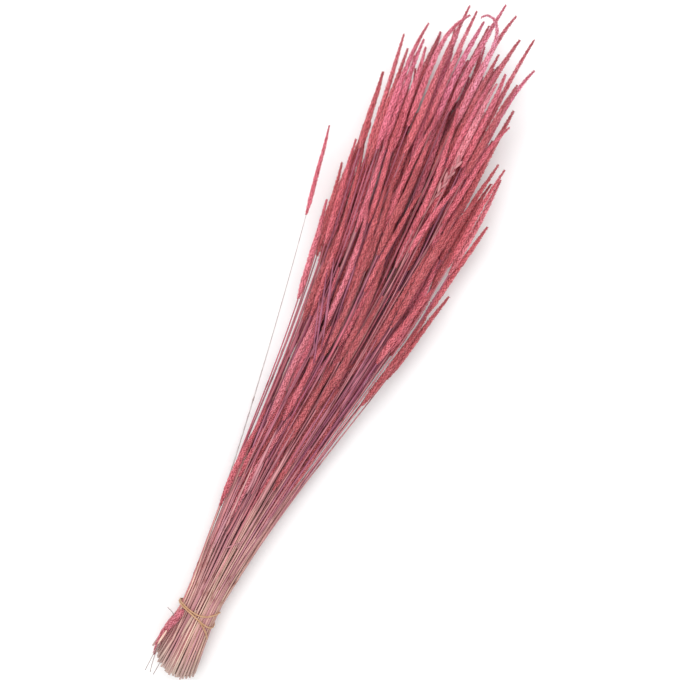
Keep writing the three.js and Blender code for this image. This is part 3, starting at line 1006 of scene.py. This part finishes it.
def head_material():
    shader = Shader("timothy_heads")
    dye = shader.ramp(shader.value("tint"), [
        (0.0, (0.63, 0.122, 0.130)),
        (0.25, (0.81, 0.158, 0.172)),
        (0.5, (0.88, 0.178, 0.210)),
        (0.75, (0.92, 0.200, 0.262)),
        (0.92, (0.95, 0.280, 0.300)),
    ])
    # Painted shade at the spikelets' bases and on the core between them; painted highlight, with the
    # spikelets' paler tone, at their tips
    painted_spikelet_light = shader.ramp(shader.value("reach"), [
        (0.0, (0.52, 0.40, 0.43)),
        (0.5, (0.90, 0.86, 0.87)),
        (1.0, (1.0, 1.23, 1.25)),
    ])
    grain = shader.ramp(shader.value("grain"), [
        (0.0, (0.80, 0.74, 0.76)),
        (1.0, (1.0, 1.19, 1.21)),
    ])
    patches = shader.ramp(shader.noise(scale=60.0, detail=3.0), [
        (0.3, (0.84, 0.78, 0.80)),
        (0.7, (1.0, 1.11, 1.12)),
    ])
    # Lighter and paler towards the fan's far end, where less shade falls between the heads: painted
    # light. Pinker near the cut ends: a tone
    height = shader.ramp(shader.value("along"), [
        (0.02, (0.98, 1.35, 1.42)),
        (0.2, (0.94, 0.94, 0.94)),
        (0.5, (1.0, 1.0, 1.0)),
        (0.7, (1.12, 1.05, 1.06)),
        (0.82, (1.13, 1.13, 1.18)),
        (0.9, (1.16, 1.54, 1.66)),
        (1.0, (1.02, 1.42, 1.56)),
    ])
    colour = shader.multiply(dye, painted_spikelet_light, grain, patches, height)
    shader.set(Base_Color=colour, Roughness=0.8, Sheen_Weight=0.25, Sheen_Roughness=0.6)
    shader.set(Sheen_Tint=(1.0, 0.75, 0.75, 1), Specular_IOR_Level=0.3)
    fuzz = shader.noise(scale=1400.0, detail=2.0)
    shader.set(Normal=shader.bump(fuzz, strength=0.35, distance=0.0003))
    return shader.material


def stem_material():
    shader = Shader("timothy_stems")
    cut = shader.ramp(shader.value("grain"), [
        (0.0, (0.79, 0.54, 0.44)),
        (0.14, (0.76, 0.50, 0.41)),
        (0.24, (0.62, 0.35, 0.31)),
        (0.5, (0.56, 0.275, 0.28)),
        (0.66, (0.51, 0.225, 0.265)),
        (0.74, (0.62, 0.26, 0.265)),
        (0.88, (0.61, 0.25, 0.26)),
        (0.95, (0.57, 0.37, 0.29)),
        (1.0, (0.63, 0.43, 0.35)),
    ])
    upper = shader.ramp(shader.value("grain"), [
        (0.0, (0.58, 0.25, 0.25)),
        (0.3, (0.46, 0.15, 0.19)),
        (0.55, (0.36, 0.105, 0.18)),
        (0.8, (0.54, 0.12, 0.165)),
        (1.0, (0.52, 0.23, 0.25)),
    ])
    height = shader.ramp(shader.value("along"), [
        (0.13, (0.0, 0.0, 0.0)),
        (0.34, (1.0, 1.0, 1.0)),
    ])
    colour = shader.mix("MIX", height, cut, upper)
    dry = shader.ramp(shader.value("tint"), [
        (0.0, (0.0, 0.0, 0.0)),
        (0.6, (0.85, 0.85, 0.85)),
        (1.0, (1.0, 1.0, 1.0)),
    ])
    straw = shader.ramp(shader.value("tint"), [
        (0.6, (0.64, 0.50, 0.43)),
        (1.0, (0.56, 0.54, 0.52)),
    ])
    colour = shader.mix("MIX", dry, colour, straw)
    streaks = shader.ramp(shader.noise(scale=900.0, detail=3.0, stretch=(0.02, 1, 1)), [
        (0.3, (0.70, 0.62, 0.64)),
        (0.55, (1.0, 1.0, 1.0)),
        (0.75, (1.22, 1.28, 1.26)),
    ])
    blotches = shader.ramp(shader.noise(scale=90.0, detail=3.0, stretch=(0.25, 1, 1)), [
        (0.35, (0.84, 0.78, 0.80)),
        (0.65, (1.08, 1.10, 1.10)),
    ])
    knots = shader.ramp(shader.value("reach"), [
        (0.0, (1.0, 1.0, 1.0)),
        (1.0, (0.62, 0.48, 0.46)),
    ])
    colour = shader.multiply(colour, streaks, blotches, knots)
    shader.set(Base_Color=colour, Roughness=0.55, Specular_IOR_Level=0.4)
    grooves = shader.noise(scale=1500.0, detail=2.0, stretch=(0.02, 1, 1))
    shader.set(Normal=shader.bump(grooves, strength=0.3, distance=0.0002))
    return shader.material


def rubber_material():
    shader = Shader("rubber_strand")
    colour = shader.ramp(shader.noise(scale=160.0, detail=4.0), [
        (0.3, (0.46, 0.24, 0.125)),
        (0.7, (0.60, 0.37, 0.205)),
    ])
    shader.set(Base_Color=colour, Roughness=0.5, Specular_IOR_Level=0.4)
    pores = shader.noise(scale=700.0, detail=3.0)
    shader.set(Normal=shader.bump(pores, strength=0.25, distance=0.0002))
    return shader.material


# The stage


def add_floor():
    half = FLOOR_SIZE / 2
    corners = [(-half, -half), (half, -half), (half, half), (-half, half)]
    mesh = bpy.data.meshes.new("floor")
    mesh.from_pydata([(x, y, -FLOOR_DROP) for x, y in corners], [], [(0, 1, 2, 3)])
    shader = Shader("floor")
    shader.set(Base_Color=FLOOR_COLOUR, Roughness=0.9, Specular_IOR_Level=0.1)
    mesh.materials.append(shader.material)
    floor = bpy.data.objects.new("floor", mesh)
    bpy.context.scene.collection.objects.link(floor)


def add_light():
    world = bpy.data.worlds.new("studio")
    world.use_nodes = True
    background = world.node_tree.nodes["Background"]
    background.inputs["Color"].default_value = WHITE
    background.inputs["Strength"].default_value = WORLD_STRENGTH
    bpy.context.scene.world = world
    data = bpy.data.lights.new("key", "AREA")
    data.energy = KEY_ENERGY
    data.size = KEY_SIZE
    light = bpy.data.objects.new("key", data)
    light.location = KEY_PLACE
    light.rotation_euler = (-light.location).to_track_quat("-Z", "Y").to_euler()
    bpy.context.scene.collection.objects.link(light)


def add_camera():
    data = bpy.data.cameras.new("camera")
    data.lens = LENS
    data.sensor_width = SENSOR
    data.clip_end = FARTHEST_SEEN
    camera = bpy.data.objects.new("camera", data)
    distance = VIEW_SPAN * LENS / SENSOR
    camera.location = [length / METRE for length in (*VIEW_CENTRE, VIEW_HEIGHT + distance)]
    camera.rotation_euler = (0, 0, math.atan2(-VIEW_UP[0], VIEW_UP[1]))
    bpy.context.scene.collection.objects.link(camera)
    bpy.context.scene.camera = camera


def set_look():
    view = bpy.context.scene.view_settings
    view.view_transform = "Standard"
    view.look = "None"


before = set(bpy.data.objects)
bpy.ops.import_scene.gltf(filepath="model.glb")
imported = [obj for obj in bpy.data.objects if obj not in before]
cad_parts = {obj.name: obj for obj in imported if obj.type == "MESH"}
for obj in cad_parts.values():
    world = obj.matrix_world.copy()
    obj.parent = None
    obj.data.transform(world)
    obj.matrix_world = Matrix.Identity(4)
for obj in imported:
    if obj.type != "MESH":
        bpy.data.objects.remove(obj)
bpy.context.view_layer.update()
stalks = plant_solid_stalks()
settle(stalks, 0, ROUNDS, STIFF_ROUNDS)
solid_count = len(stalks)
stalks += plant_fillers(stalks)
settle(stalks, solid_count, FILLER_ROUNDS, FILLER_ROUNDS)

grass = [head_material(), stem_material()]
draws = np.random.default_rng(FILLER_SEED)
for n in range(0, solid_count, 2):
    number = f"{n // 2 + 1:02d}"
    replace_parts(stalk_piece(f"timothy_{number}", stalks[n:n + 2], grass, draws), f"stalks_{number}")
for n in range(solid_count, len(stalks), FILLER_GROUP):
    number = f"{(n - solid_count) // FILLER_GROUP + 1:02d}"
    stalk_piece(f"timothy_more_{number}", stalks[n:n + FILLER_GROUP], grass, draws)
loose_bits_piece(stalks, grass, draws)
band_piece(rubber_material())

add_floor()
add_light()
add_camera()
set_look()
